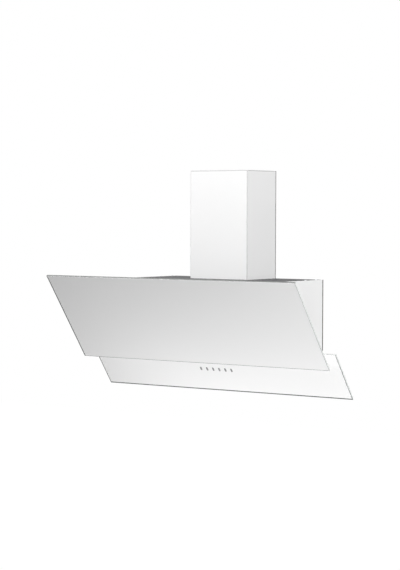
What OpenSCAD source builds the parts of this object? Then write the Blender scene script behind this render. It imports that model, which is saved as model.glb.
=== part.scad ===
// Inclined two-pane chimney hood for a wall. Millimetres, degrees.
// Origin: on the wall, centred, at the height of the two securing screws. +X right, +Y into the wall, +Z up.

/* [Glass panes] */
// Width of both panes
glass_w = 900; // [700:10:1100]
// Thickness of both panes
glass_t = 6; // [4:0.5:8]
// Ground chamfer round the edges of the panes
glass_arris = 0.8; // [0.4:0.1:1.2]
// Lean of the panes from the vertical, in degrees
glass_tilt = 36; // [29:1:43]
// Height of the upper pane along its slope
upper_glass_h = 318; // [260:1:380]
// Height of the lower pane along its slope
lower_glass_h = 170; // [140:1:205]
// From the front face of the upper pane back to the front face of the lower one
glass_step = 53; // [44:1:64]
// Overlap of the two panes along the slope
glass_lap = 15; // [10:1:20]
// Rise of the upper pane's top edge above the body
glass_rise = 6.5; // [5:0.5:8]

/* [Body] */
// Width of the box body
body_w = 552; // [450:2:660]
// Height of the body's top above the securing screws
body_top = 60; // [50:1:72]
// Depth of the body at its underside
bottom_depth = 121; // [100:0.5:146]
// Thickness of the body's sheet steel
sheet_t = 1; // [0.8:0.1:1.2]
// Width of the folded flanges
flange_w = 14; // [11:1:17]
// How far the lower pane hangs below the body along the slope
bottom_tuck = 24; // [18:1:30]

/* [Wall fixings] */
// Distance of the two securing holes from the body's sides
securing_inset = 41; // [34:1:49]
// Diameter of the securing holes
securing_d = 7; // [6:0.5:8.5]
// Distance between the two hanging keyholes
keyhole_pitch = 360; // [290:5:400]
// Height of the hanging keyholes above the securing holes
keyhole_rise = 28; // [24:1:34]

/* [Chimney] */
// Width of the outer chimney sleeve
chimney_w = 211; // [174:1:252]
// Depth of the outer chimney sleeve
chimney_d = 160; // [134:1:190]
// Height of the outer chimney sleeve
chimney_h = 330; // [274:1:394]
// Running gap between the two sleeves
sleeve_gap = 0.5; // [0.3:0.1:0.8]
// Shortest overlap of the two sleeves when drawn out
sleeve_overlap = 60; // [50:1:72]
// Diameter of the duct collar
duct_d = 119.5; // [99.5:0.5:140]
// Height of the duct collar
collar_h = 64; // [53:1:77]

/* [Blower] */
// Diameter of the impeller
impeller_d = 136; // [112:1:160]
// Length of the impeller along its shaft
impeller_w = 100; // [82:1:118]
// Number of blades
blade_count = 32; // [20:1:40]
// Radial depth of the blades
blade_depth = 12; // [10:1:14]
// Gap between the impeller and the tongue of the scroll
tongue_gap = 5; // [4:0.5:6]
// Growth of the scroll from its tongue to its outlet
scroll_growth = 20; // [16:1:24]
// Wall of the moulded scroll
scroll_t = 2; // [1.6:0.1:2.4]
// Diameter of the motor
motor_d = 82; // [68:1:96]

/* [Grease filters] */
// Thickness of a grease filter
filter_t = 9; // [8:0.5:11]
// Distance between the diamonds of the mesh
mesh_pitch = 11; // [9:0.5:14]
// Width of a strand of the mesh
strand_w = 1.6; // [1.3:0.1:2]

/* [Controls] */
// Number of push keys
key_count = 6; // [4:1:8]
// Distance from one key to the next
key_pitch = 22.5; // [19:0.5:27]
// Offset of the key row from the middle of the hood
key_row_x = -3; // [-6:1:6]
// Width of a key
key_w = 5.6; // [4.6:0.1:6.7]
// Height of a key along the slope
key_h = 12.6; // [10.5:0.1:15]
// Travel of a key
key_travel = 1.5; // [1.2:0.1:1.8]

/* [Lamps] */
// Diameter of the lamp bezels
lamp_d = 68; // [56:1:80]
// Distance of the lamps' centres from the body's sides
lamp_inset = 106; // [88:1:128]

/* [Hidden] */
$fn = 64;

// Overrun of every cut past the faces it goes through
over = 1;
// Gap that keeps pieces which move past each other apart
gap = 0.3;
// Radial clearance of a pin or shaft in its bore
fit = 0.05;

// The slope frame: x across, u back from the upper pane's front face, v up the slope from its top edge
rail_t = 3;
front_u = glass_step + glass_t + rail_t;
lower_top_v = glass_lap - upper_glass_h;
lower_bottom_v = lower_top_v - lower_glass_h;
body_bottom_v = lower_bottom_v + bottom_tuck;
glass_top_z = body_top + glass_rise;
glass_reach = bottom_depth + front_u * cos(glass_tilt) - body_bottom_v * sin(glass_tilt);
body_bottom_z = glass_top_z + front_u * sin(glass_tilt) + body_bottom_v * cos(glass_tilt);
body_in = body_w / 2 - sheet_t;

// Depth (world y) of the plane u at the height z
function plane_y(u, z) = -glass_reach + (u - (z - glass_top_z) * sin(glass_tilt)) / cos(glass_tilt);

// Outline of the body's side, drawn in by an inset
function side_outline(inset) = [
    [-inset, body_top - inset],
    [plane_y(front_u + inset, body_top - inset), body_top - inset],
    [plane_y(front_u + inset, body_bottom_z + inset), body_bottom_z + inset],
    [-inset, body_bottom_z + inset]];

// Children are drawn in the slope frame
module on_slope() translate([0, -glass_reach, glass_top_z]) rotate([glass_tilt, 0, 0]) children();

// Extrudes an outline drawn in (y, z) along x
module along_x(x) translate([x[0], 0, 0]) rotate([90, 0, 90]) linear_extrude(x[1] - x[0]) children();

// Extrudes an outline drawn in (x, v) along u
module along_u(u) translate([0, u[1], 0]) rotate([90, 0, 0]) linear_extrude(u[1] - u[0]) children();

// Block between two corners given as ranges
module block(x, y, z)
    translate([x[0], y[0], z[0]]) cube([x[1] - x[0], y[1] - y[0], z[1] - z[0]]);

// Cylinder that starts at a point and runs along +x, +y or +z
module rod_x(p, r, h) translate(p) rotate([0, 90, 0]) cylinder(r = r, h = h);
module rod_y(p, r, h) translate(p) rotate([-90, 0, 0]) cylinder(r = r, h = h);
module rod_z(p, r, h) translate(p) cylinder(r = r, h = h);

// Copies for both sides of the hood: the children and their mirror image
module both_sides() { children(); mirror([1, 0, 0]) children(); }

// Slot with round ends, its long side along the second axis
module pill(w, h) {
    square([w, h - w], center = true);
    for (end = [-1, 1]) translate([0, end * (h - w) / 2]) circle(d = w);
}

// Pan-head screw at the origin, its head on +z and its shank down -z
module screw(r, length) {
    head_h = r;
    cylinder(r = 2 * r, h = head_h);
    translate([0, 0, -length]) cylinder(r = r, h = length);
}

// Sheet-metal body

// Keyhole: a wide mouth with a narrow slot above it
keyhole_mouth_r = 7;
keyhole_slot_r = 3.5;
keyhole_slot_h = 12;

module keyhole() {
    circle(keyhole_mouth_r);
    translate([0, keyhole_slot_h / 2]) square([2 * keyhole_slot_r, keyhole_slot_h], center = true);
    translate([0, keyhole_slot_h]) circle(keyhole_slot_r);
}

module back_panel() color("gainsboro") difference() {
    block([-body_in, body_in], [-sheet_t, 0], [body_bottom_z + sheet_t, body_top - sheet_t]);
    for (side = [-1, 1]) {
        rod_y([side * (body_w / 2 - securing_inset), -sheet_t - over, 0], securing_d / 2, sheet_t + 2 * over);
        translate([side * keyhole_pitch / 2, over, keyhole_rise]) rotate([90, 0, 0])
            linear_extrude(sheet_t + 2 * over) keyhole();
    }
}

module side_panel() color("white") difference() {
    union() {
        along_x([body_in, body_w / 2]) polygon(side_outline(0));
        along_x([body_w / 2 - flange_w, body_in]) difference() {
            polygon(side_outline(sheet_t));
            polygon(side_outline(2 * sheet_t));
        }
    }
    at_body_screws() screw_hole();
}

// Half of the screws' places in the side panels' flanges: on the top panel and under the bottom one
module at_body_screws() {
    x = body_w / 2 - flange_w / 2;
    for (y = [-bottom_depth / 4, -3 * bottom_depth / 4]) {
        translate([x, y, body_top]) children();
        translate([x, y, body_bottom_z]) rotate([180, 0, 0]) children();
    }
}

// Room for a screw's shank
module screw_hole() translate([0, 0, -screw_len]) cylinder(r = screw_r, h = screw_len + over);

// The duct leaves through the middle of the chimney
duct_r = duct_d / 2;
duct_y = -chimney_d / 2;
collar_t = 1.5;

module top_panel() color("dimgray") difference() {
    along_x([-body_in, body_in]) polygon([
        [0, body_top], [plane_y(front_u + sheet_t, body_top), body_top],
        [plane_y(front_u + sheet_t, body_top - sheet_t), body_top - sheet_t], [0, body_top - sheet_t]]);
    rod_z([0, duct_y, body_top - sheet_t - over], duct_r - collar_t, sheet_t + 2 * over);
    rod_z([gland_x, gland_y, body_top - sheet_t - over], gland_r, sheet_t + 2 * over);
    both_sides() at_body_screws() screw_hole();
}

// Lamps stand in the middle of the underside
lamp_y = -bottom_depth / 2;
bezel_flange = 5;
lamp_neck_r = lamp_d / 2 - bezel_flange;
lamp_x = body_w / 2 - lamp_inset;

module bottom_panel() color("white") difference() {
    along_x([-body_in, body_in]) polygon([
        [0, body_bottom_z + sheet_t],
        [plane_y(front_u + sheet_t, body_bottom_z + sheet_t), body_bottom_z + sheet_t],
        [plane_y(front_u + sheet_t, body_bottom_z), body_bottom_z],
        [0, body_bottom_z]]);
    both_sides() {
        rod_z([lamp_x, lamp_y, body_bottom_z - over], lamp_neck_r, sheet_t + 2 * over);
        at_body_screws() screw_hole();
    }
}

// Hinge line of the swinging pane, in the slope frame
hinge_u = 40;
hinge_drop = 85;
hinge_base_h = 40;
hinge_inset = 75;
hinge_x = body_w / 2 - hinge_inset;

// Filter recesses in the front frame
recess_margin = 8;
recess_top_v = -hinge_drop - hinge_base_h / 2 - recess_margin;
recess_bottom_v = lower_top_v + 2 * recess_margin;
recess_x = [1.5 * recess_margin, body_in - flange_w - recess_margin];
recess_w = recess_x[1] - recess_x[0];
recess_h = recess_top_v - recess_bottom_v;
recess_mid_x = (recess_x[0] + recess_x[1]) / 2;
recess_lip = 8;
recess_u = front_u + filter_t + gap;

// Key row on the lower pane
key_row_share = 0.495;
key_v = lower_top_v - key_row_share * lower_glass_h;
guide_margin = 5;
guide_w = key_count * key_pitch + 2 * guide_margin;
guide_h = key_h + 2 * guide_margin;

module front_frame() color("white") difference() {
    union() {
        along_x([-body_in, body_in]) polygon([
            [plane_y(front_u, body_top), body_top],
            [plane_y(front_u + sheet_t, body_top), body_top],
            [plane_y(front_u + sheet_t, body_bottom_z), body_bottom_z],
            [plane_y(front_u, body_bottom_z), body_bottom_z]]);
        on_slope() both_sides()
            block([recess_x[0] - sheet_t, recess_x[1] + sheet_t], [front_u, recess_u + sheet_t],
                [recess_bottom_v - sheet_t, recess_top_v + sheet_t]);
    }
    on_slope() {
        both_sides() {
            block(recess_x, [front_u - over, recess_u], [recess_bottom_v, recess_top_v]);
            block([recess_x[0] + recess_lip, recess_x[1] - recess_lip],
                [recess_u - over, recess_u + sheet_t + over],
                [recess_bottom_v + recess_lip, recess_top_v - recess_lip]);
            latch_slot([recess_top_v - over, recess_top_v + sheet_t + over]);
            for (tab = [-1, 1]) translate([tab * recess_w / 4, 0, 0])
                block([recess_mid_x - tab_w / 2 - gap, recess_mid_x + tab_w / 2 + gap],
                    [tab_u - gap, tab_u + tab_t + gap],
                    [recess_bottom_v - sheet_t - over, recess_bottom_v + over]);
        }
        block([key_row_x - guide_w / 2, key_row_x + guide_w / 2],
            [front_u - over, front_u + sheet_t + over],
            [key_v - guide_h / 2, key_v + guide_h / 2]);
    }
}

// Fixed lower pane

// Pane with ground edges, its front face on u = 0 and its top edge on v = 0
module pane(h) {
    t = glass_t;
    a = glass_arris;
    w = glass_w / 2;
    intersection() {
        along_x([-w, w]) polygon([
            [a, 0], [t - a, 0], [t, -a], [t, a - h], [t - a, -h], [a, -h], [0, a - h], [0, -a]]);
        translate([0, 0, -h]) linear_extrude(h) polygon([
            [a - w, 0], [w - a, 0], [w, a], [w, t - a], [w - a, t], [a - w, t], [-w, t - a], [-w, a]]);
    }
}

module lower_glass() color("white") on_slope() difference() {
    translate([0, glass_step, lower_top_v]) pane(lower_glass_h);
    for (i = [1 : key_count]) translate([key_x(i), 0, key_v])
        along_u([glass_step - over, glass_step + glass_t + over]) pill(key_w + 2 * gap, key_h + 2 * gap);
}

rail_h = 12;
rail_drop = 26;

module lower_glass_rails() color("silver") on_slope()
    for (v = [lower_top_v - rail_drop, body_bottom_v + rail_h])
        block([-body_in + flange_w, body_in - flange_w], [front_u - rail_t, front_u],
            [v - rail_h / 2, v + rail_h / 2]);

// Swinging upper pane

ear_t = 3;
ear_r = 8;
arm_t = 8;
hinge_pin_r = 3;
hinge_head_r = 5;
hinge_head_t = 1.5;
hinge_base_w = 30;
hinge_base_t = 2;

// Ear from a plate to the hinge line, with its bore
module hinge_ear(x, u_plate, bore_r) difference() {
    union() {
        rod_x([x[0], hinge_u, -hinge_drop], ear_r, x[1] - x[0]);
        block(x, [min(hinge_u, u_plate), max(hinge_u, u_plate)], [-hinge_drop - ear_r, -hinge_drop + ear_r]);
    }
    rod_x([x[0] - over, hinge_u, -hinge_drop], bore_r, x[1] - x[0] + 2 * over);
}

module hinge_bracket() color("silver") on_slope() translate([hinge_x, 0, 0]) {
    block([-hinge_base_w / 2, hinge_base_w / 2], [front_u - hinge_base_t, front_u],
        [-hinge_drop - hinge_base_h / 2, -hinge_drop + hinge_base_h / 2]);
    for (x = [-arm_t / 2 - gap - ear_t, arm_t / 2 + gap])
        hinge_ear([x, x + ear_t], front_u - hinge_base_t, hinge_pin_r + fit);
}

carrier_depth = 12;
carrier_inset = 25;
carrier_foot = 12;

module hinge_arm() color("silver") on_slope() translate([hinge_x, 0, 0]) {
    block([-hinge_base_w / 2, hinge_base_w / 2], [glass_t + sheet_t, glass_t + sheet_t + hinge_base_t],
        [-hinge_drop - hinge_base_h / 2, -hinge_drop + hinge_base_h / 2]);
    hinge_ear([-arm_t / 2, arm_t / 2], glass_t + sheet_t + hinge_base_t, hinge_pin_r);
}

module hinge_pins() color("gray") on_slope() both_sides() translate([hinge_x, hinge_u, -hinge_drop]) {
    half = arm_t / 2 + ear_t + 2 * gap;
    rod_x([-half, 0, 0], hinge_pin_r, 2 * half);
    rod_x([-half - hinge_head_t, 0, 0], hinge_head_r, hinge_head_t);
    rod_x([half, 0, 0], hinge_head_r, hinge_head_t);
}

module upper_glass() color("white") on_slope() pane(upper_glass_h);

// Tray bonded behind the upper pane; its folded edge steers the air to the rim of the glass
module glass_carrier() color("white") on_slope() {
    x = body_w / 2 - flange_w;
    v = [carrier_foot - upper_glass_h, -carrier_inset];
    block([-x, x], [glass_t, glass_t + sheet_t], v);
    difference() {
        block([-x, x], [glass_t + sheet_t, glass_t + carrier_depth], v);
        block([-x + sheet_t, x - sheet_t], [glass_t, glass_t + carrier_depth + over],
            [v[0] + sheet_t, v[1] - sheet_t]);
    }
}

// Magnetic catches near the foot of the upper pane
catch_r = 6;
catch_x = body_w / 2 - flange_w - 4 * catch_r;
catch_v = (recess_bottom_v - sheet_t + lower_top_v) / 2;
catch_u = glass_t + carrier_depth;

module catch_magnets() color("dimgray") on_slope() both_sides() {
    rod_y([catch_x, catch_u, catch_v], catch_r - sheet_t, front_u - catch_u);
    rod_y([catch_x, front_u - 2 * hinge_base_t, catch_v], catch_r, 2 * hinge_base_t);
}

module strike_plates() color("silver") on_slope() both_sides()
    rod_y([catch_x, glass_t + sheet_t, catch_v], catch_r, catch_u - gap - glass_t - sheet_t);

// Grease filters, drawn for the right-hand recess

rim_w = 16;
rim_t = 1.6;
tab_w = 18;
tab_t = 2;
tab_u = front_u + filter_t / 2;
tab_reach = 3;
filter_w = recess_w - 2 * gap;
filter_h = recess_h - 2 * gap;
filter_mid_v = (recess_top_v + recess_bottom_v) / 2;

// Latch at the top of a filter: a slider in a housing, its tip through the frame's slot
latch_w = 16;
latch_t = 2.4;
latch_reach = 4;
latch_travel = 5;
latch_plate_w = 40;
latch_plate_h = 34;
latch_u = front_u + 2;
latch_len = 20;
knob_w = 9;
knob_h = 7;
knob_proud = 5;

// Room for the slider where it passes an edge at the v range given
module latch_slot(v)
    block([recess_mid_x - latch_w / 2 - gap, recess_mid_x + latch_w / 2 + gap],
        [latch_u - gap, latch_u + latch_t + gap], v);

module filter_frame() color("lightgray") on_slope() difference() {
    top_v = recess_top_v - gap;
    union() {
        translate([recess_mid_x, 0, filter_mid_v]) difference() {
            along_u([front_u, front_u + filter_t]) square([filter_w, filter_h], center = true);
            along_u([front_u - over, front_u + rim_t + over])
                square([filter_w - 2 * rim_w, filter_h - 2 * rim_w], center = true);
            along_u([front_u + rim_t, front_u + filter_t + over])
                square([filter_w - 2 * rim_t, filter_h - 2 * rim_t], center = true);
        }
        block([recess_mid_x - latch_plate_w / 2, recess_mid_x + latch_plate_w / 2],
            [front_u, front_u + filter_t - rim_t], [top_v - latch_plate_h, top_v]);
        for (tab = [-1, 1]) translate([tab * recess_w / 4, 0, 0])
            block([recess_mid_x - tab_w / 2, recess_mid_x + tab_w / 2], [tab_u, tab_u + tab_t],
                [recess_bottom_v - tab_reach, recess_bottom_v + gap + rim_t]);
    }
    latch_slot([top_v - latch_len - latch_travel - gap, top_v + over]);
    block([recess_mid_x - knob_w / 2 - gap, recess_mid_x + knob_w / 2 + gap], [front_u - over, latch_u],
        [top_v - latch_len - latch_travel - gap, top_v - latch_len + knob_h + gap]);
}

module filter_latch() color("silver") on_slope() {
    tip_v = recess_top_v + latch_reach;
    foot_v = recess_top_v - gap - latch_len;
    block([recess_mid_x - latch_w / 2, recess_mid_x + latch_w / 2], [latch_u, latch_u + latch_t],
        [foot_v, tip_v]);
    block([recess_mid_x - knob_w / 2, recess_mid_x + knob_w / 2], [front_u - knob_proud, latch_u],
        [foot_v, foot_v + knob_h]);
}

// Expanded-metal mesh: staggered diamonds inside a plain edge, cut out round the latch housing
module filter_mesh() color("silver") on_slope() translate([recess_mid_x, 0, 0]) {
    w = filter_w - 2 * rim_t;
    h = filter_h - 2 * rim_t;
    field_w = filter_w - 2 * rim_w;
    field_h = filter_h - 2 * rim_w - latch_plate_h;
    cols = floor(field_w / mesh_pitch);
    rows = floor(field_h / mesh_pitch);
    notch_w = latch_plate_w / 2;
    top_v = filter_mid_v + h / 2;
    notch_v = recess_top_v - gap - latch_plate_h;
    along_u([front_u + rim_t, front_u + filter_t - rim_t]) difference() {
        polygon([
            [-w / 2, top_v - h], [w / 2, top_v - h], [w / 2, top_v], [notch_w, top_v],
            [notch_w, notch_v], [-notch_w, notch_v], [-notch_w, top_v], [-w / 2, top_v]]);
        for (i = [0 : cols - 1], j = [0 : rows - 1], half = [0, 1])
            if (i + half < cols && j + half < rows + half)
                translate([(i + half / 2 - (cols - 1) / 2) * mesh_pitch,
                           filter_mid_v - latch_plate_h / 2 + (j + half / 2 - (rows - 1) / 2) * mesh_pitch])
                    circle(mesh_pitch / 2 - strand_w / sqrt(2), $fn = 4);
    }
}

// Blower: a double-inlet centrifugal fan under the duct collar

impeller_r = impeller_d / 2;
scroll_r0 = impeller_r + tongue_gap + scroll_t;
scroll_r1 = scroll_r0 + scroll_growth;
tongue_angle = 100;
throat_rise = 37;
side_gap = 8;
scroll_in = impeller_w / 2 + side_gap;
scroll_x = scroll_in + scroll_t;
throat_back = scroll_r1;
throat_front = scroll_r0 * cos(tongue_angle);
fan_y = duct_y - (throat_back + throat_front) / 2;
fan_z = body_top - sheet_t - scroll_r0 - throat_rise;
throat_top = body_top - sheet_t - fan_z;

// Spiral outline round the fan's axis, with its outlet straight up; inset draws it in by a wall
function scroll_radius(a) = scroll_r0 + scroll_growth * (a - tongue_angle) / (360 - tongue_angle);
function scroll_outline(inset) = concat(
    [for (i = [0 : 26]) let (a = tongue_angle + i * (360 - tongue_angle) / 26, r = scroll_radius(a) - inset)
        [r * cos(a), r * sin(a)]],
    [[throat_back - inset, throat_top], [throat_front + inset, throat_top]]);

module at_fan() translate([0, fan_y, fan_z]) children();

bell_r = 6;
inlet_r = impeller_r - blade_depth - bell_r / 3;
lug_r = 5;
lug_angles = [150, 205, 260, 315];
scroll_flange = 8;

// Right half of the scroll: side wall with its bell mouth, half of the spiral wall, lugs and outlet flange
module scroll_half() color("darkslategray") at_fan() difference() {
    union() {
        along_x([0, scroll_x]) polygon(scroll_outline(0));
        for (a = lug_angles)
            rod_x([0, scroll_radius(a) * cos(a), scroll_radius(a) * sin(a)], lug_r, 2 * lug_r);
        block([0, scroll_x + scroll_flange],
            [throat_front - scroll_flange, throat_back + scroll_flange],
            [throat_top - 2 * scroll_t, throat_top]);
    }
    along_x([-over, scroll_in])
        polygon([for (p = scroll_outline(scroll_t)) [p[0], p[1] >= throat_top ? throat_top + over : p[1]]]);
    rod_x([scroll_in - over, 0, 0], inlet_r + bell_r, scroll_t + 2 * over);
    for (a = lug_angles) let (r = scroll_radius(a) + lug_r / 3)
        rod_x([-over, r * cos(a), r * sin(a)], lug_r / 4, 2 * lug_r + 2 * over);
    at_motor_screws() screw_hole();
}

// Places of the spider's screws, on its outer face
module at_motor_screws() for (a = spider_angles) rotate([a, 0, 0])
    translate([scroll_x + bracket_t, spider_reach - arm_w / 3, 0]) rotate([0, 90, 0]) children();

// Bell mouth: a quarter-round lip that leads the air into the impeller
module bell_mouth() color("darkslategray") at_fan()
    translate([scroll_x, 0, 0]) rotate([0, -90, 0]) rotate_extrude() translate([inlet_r + bell_r, 0])
        intersection() {
            difference() {
                translate([0, bell_r]) circle(bell_r);
                translate([0, bell_r]) circle(bell_r - scroll_t);
            }
            translate([-bell_r, 0]) square([bell_r, bell_r]);
        }

module scroll_with_mouth() { scroll_half(); bell_mouth(); }

// One forward-curved blade: the ring between two arcs, cut to a short stretch
hub_r = 12;
shaft_r = 4;
disc_t = 3;
blade_t = 1.4;
ring_t = 2.5;
blade_rim = 0.8;
blade_bow = 24;
blade_steps = 5;

function blade_point(s, side) = let (
        r = impeller_r - blade_depth + blade_rim + s * (blade_depth - 2 * blade_rim),
        a = blade_bow * s * s + side * blade_t / 2 / r * 180 / PI)
    [r * cos(a), r * sin(a)];

module blade() polygon(concat(
    [for (i = [0 : blade_steps]) blade_point(i / blade_steps, -1)],
    [for (i = [blade_steps : -1 : 0]) blade_point(i / blade_steps, 1)]));

module impeller() color("silver") at_fan() {
    half = impeller_w / 2;
    difference() {
        union() {
            rod_x([-disc_t / 2, 0, 0], impeller_r, disc_t);
            rod_x([-hub_r, 0, 0], hub_r, hub_r + disc_t);
        }
        rod_x([-hub_r - over, 0, 0], shaft_r, 2 * hub_r + 2 * over);
    }
    along_x([-half + ring_t / 2, half - ring_t / 2])
        for (i = [0 : blade_count - 1]) rotate(i * 360 / blade_count) blade();
    for (x = [-half, half - ring_t]) difference() {
        rod_x([x, 0, 0], impeller_r, ring_t);
        rod_x([x - over, 0, 0], impeller_r - blade_depth, ring_t + 2 * over);
    }
}

motor_x = 4 * disc_t;
shaft_bore = 30;

module fan_shaft() color("gray") at_fan()
    rod_x([-hub_r - 2 * disc_t, 0, 0], shaft_r, hub_r + 2 * disc_t + motor_x + shaft_bore - gap);

motor_end_r = 18;
motor_end_t = 6;
bracket_t = 2;
bracket_ring_lip = 5;
bracket_ring_r = motor_d / 2 + bracket_ring_lip;

module motor() color("gray") at_fan() difference() {
    union() {
        rod_x([motor_x, 0, 0], motor_d / 2 - bracket_t, scroll_x - motor_x);
        rod_x([motor_x + 2 * disc_t, 0, 0], motor_d / 2, scroll_x - motor_x - 4 * disc_t);
        rod_x([scroll_x, 0, 0], motor_end_r, motor_end_t);
    }
    rod_x([motor_x - over, 0, 0], shaft_r + fit, shaft_bore + over);
}

// Spider that carries the motor in the mouth of the scroll
spider_angles = [30, 150, 270];
arm_w = 14;
spider_reach = inlet_r + bell_r + 2 * bracket_ring_lip;
bracket_vent_r = 5;
vent_angle = 26;

module motor_bracket() color("silver") at_fan() difference() {
    union() {
        rod_x([scroll_x, 0, 0], bracket_ring_r, bracket_t);
        for (a = spider_angles) rotate([a, 0, 0])
            block([scroll_x, scroll_x + bracket_t], [0, spider_reach], [-arm_w / 2, arm_w / 2]);
    }
    rod_x([scroll_x - over, 0, 0], motor_end_r, bracket_t + 2 * over);
    for (a = spider_angles, step = [-1, 0, 1]) rotate([a + 60 + step * vent_angle, 0, 0])
        rod_x([scroll_x - over, (motor_end_r + bracket_ring_r) / 2, 0], bracket_vent_r, bracket_t + 2 * over);
    at_motor_screws() screw_hole();
}

capacitor_r = 15;
capacitor_len = 52;

module capacitor() color("whitesmoke") {
    x = box_x[1] + 2 * capacitor_r;
    y = -sheet_t - capacitor_r;
    rod_z([x, y, box_z[0]], capacitor_r, capacitor_len);
    rod_z([x, y, box_z[0] + capacitor_len], capacitor_r / 3, capacitor_r / 2);
}

// Duct collar with its two non-return flaps

collar_flange = 12;
collar_base_t = 2;
seat_w = 3;
seat_z = body_top + collar_base_t;
flap_t = 1.5;
flap_pin_r = 1.5;
knuckle_r = 3;
flap_r = duct_r - collar_t - 2 * gap - sheet_t;
flap_axis_z = seat_z + flap_t / 2 + gap;
flap_pin_len = 2 * duct_r - collar_t;

module outlet_collar() color("darkslategray") translate([0, duct_y, 0]) difference() {
    union() {
        rod_z([0, 0, body_top], duct_r + collar_flange, collar_base_t);
        rod_z([0, 0, body_top], duct_r, collar_h);
    }
    rod_z([0, 0, body_top - over], duct_r - collar_t - seat_w, collar_h + 2 * over);
    rod_z([0, 0, seat_z], duct_r - collar_t, collar_h);
    rod_y([0, -duct_r - over, flap_axis_z], flap_pin_r, 2 * duct_r + 2 * over);
}

module flap_pin() color("silver")
    rod_y([0, duct_y - flap_pin_len / 2, flap_axis_z], flap_pin_r, flap_pin_len);

// Right-hand flap: a half disc on every second knuckle of the pin, the even or the odd ones
module flap(odd) translate([0, duct_y, 0]) difference() {
    span = flap_r / 3;
    thick = [flap_axis_z - flap_t / 2, flap_axis_z + flap_t / 2];
    union() {
        intersection() {
            rod_z([0, 0, thick[0]], flap_r, flap_t);
            block([knuckle_r + gap, duct_r], [-duct_r, duct_r], thick);
        }
        for (k = [0 : 3]) if (k % 2 == odd) translate([0, (k - 2) * span + gap, 0]) {
            rod_y([0, 0, flap_axis_z], knuckle_r, span - 2 * gap);
            block([0, knuckle_r + 2 * gap], [0, span - 2 * gap], thick);
        }
    }
    rod_y([0, -duct_r, flap_axis_z], flap_pin_r + fit, 2 * duct_r);
}

module flap_right() color("darkslategray") flap(0);
module flap_left() color("darkslategray") mirror([1, 0, 0]) flap(1);

// Electrics

box_inset = 75;
box_size = [90, 55, 80];
box_drop = 10;
box_x = [box_inset - body_w / 2, box_inset - body_w / 2 + box_size[0]];
box_z = [fan_z - box_drop - box_size[2], fan_z - box_drop];
box_t = 1.5;
box_ear = 11;
board_t = 1.6;
post_h = 8;

module control_box() color("silver") difference() {
    mid_z = (box_z[0] + box_z[1]) / 2;
    union() {
        block(box_x, [-sheet_t - box_size[1], -sheet_t], box_z);
        block([box_x[0] - box_ear, box_x[1] + box_ear], [-sheet_t - box_t, -sheet_t],
            [mid_z - box_ear, mid_z + box_ear]);
    }
    for (x = [box_x[0] - box_ear / 2, box_x[1] + box_ear / 2])
        rod_y([x, -sheet_t - box_t - over, mid_z], box_ear / 6, box_t + 2 * over);
    block([box_x[0] + box_t, box_x[1] - box_t], [-sheet_t - box_size[1] - over, -sheet_t - box_t],
        [box_z[0] + box_t, box_z[1] - box_t]);
}

// Circuit board on four posts, with a relay block and a connector row
module control_board() color("seagreen") {
    x = [box_x[0] + 4 * box_t, box_x[1] - 4 * box_t];
    z = [box_z[0] + 4 * box_t, box_z[1] - 4 * box_t];
    y = -sheet_t - box_t - post_h;
    block(x, [y - board_t, y], z);
    for (px = [x[0] + post_h, x[1] - post_h], pz = [z[0] + post_h, z[1] - post_h])
        rod_y([px, y, pz], post_h / 3, post_h);
    for (i = [0 : 2]) block([x[0] + post_h * (1 + 3 * i), x[0] + post_h * (3 + 3 * i)],
        [y - board_t - 2 * post_h, y - board_t], [z[1] - 4 * post_h, z[1] - 2 * post_h]);
    block([x[0] + post_h, x[1] - post_h], [y - board_t - post_h, y - board_t],
        [z[0] + post_h / 2, z[0] + 1.5 * post_h]);
}

transformer_size = [96, 40, 26];

module transformer() color("whitesmoke") {
    half = transformer_size / 2;
    z = body_bottom_z + sheet_t;
    block([-half[0], half[0]], [lamp_y - half[1], lamp_y + half[1]], [z, z + transformer_size[2]]);
    both_sides() translate([half[0], lamp_y, z]) difference() {
        cylinder(r = half[1] / 2, h = 2 * sheet_t);
        translate([half[1] / 4, 0, -over]) cylinder(r = half[1] / 10, h = 2 * sheet_t + 2 * over);
    }
}

// Mains inlet: a gland in the top panel, in the front corner of the chimney, over the terminal box that
// stands beside the blower's outlet flange
gland_r = 8;
gland_inset = 24;
gland_bore_r = 4;
terminal_size = [60, 44, 30];
terminal_x = scroll_x + scroll_flange + gap;
gland_x = terminal_x + gland_r;
gland_y = -chimney_d + gland_inset;

module cable_gland() color("dimgray") translate([gland_x, gland_y, body_top]) difference() {
    union() {
        rotate([0, 0, 30]) cylinder(r = 1.4 * gland_r, h = gland_r, $fn = 6);
        translate([0, 0, gland_r]) cylinder(r = gland_r, h = gland_r / 2);
        translate([0, 0, -sheet_t]) cylinder(r = gland_r, h = sheet_t);
    }
    translate([0, 0, -sheet_t - over]) cylinder(r = gland_bore_r, h = 2 * gland_r + sheet_t + 2 * over);
}

module terminal_box() color("dimgray") difference() {
    z = body_top - sheet_t;
    x = [terminal_x, terminal_x + terminal_size[0]];
    y = [gland_y - terminal_size[1] / 2, gland_y + terminal_size[1] / 2];
    block(x, y, [z - terminal_size[2], z]);
    block([x[0] + 2 * box_t, x[1] - 2 * box_t], [y[0] + 2 * box_t, y[1] - 2 * box_t],
        [z - terminal_size[2] + 2 * box_t, z - 2 * box_t]);
    rod_z([gland_x, gland_y, z - 2 * box_t], gland_bore_r, 2 * box_t + over);
}

// Push keys

key_proud = 0.8;
key_flange = 1.4;
key_flange_t = 1.6;
key_flange_u = glass_step + glass_t + gap;
key_stem_r = 2;
pocket_u = key_flange_u + key_flange_t + key_travel + gap;
guide_floor_t = 2;
switch_h = 3.5;
switch_w = 6;
stem_end_u = pocket_u + guide_floor_t;
switch_u = stem_end_u + key_travel + gap;
guide_u = switch_u + switch_h;
guide_ear = 8;

function key_x(i) = key_row_x + (i - (key_count + 1) / 2) * key_pitch;

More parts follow.
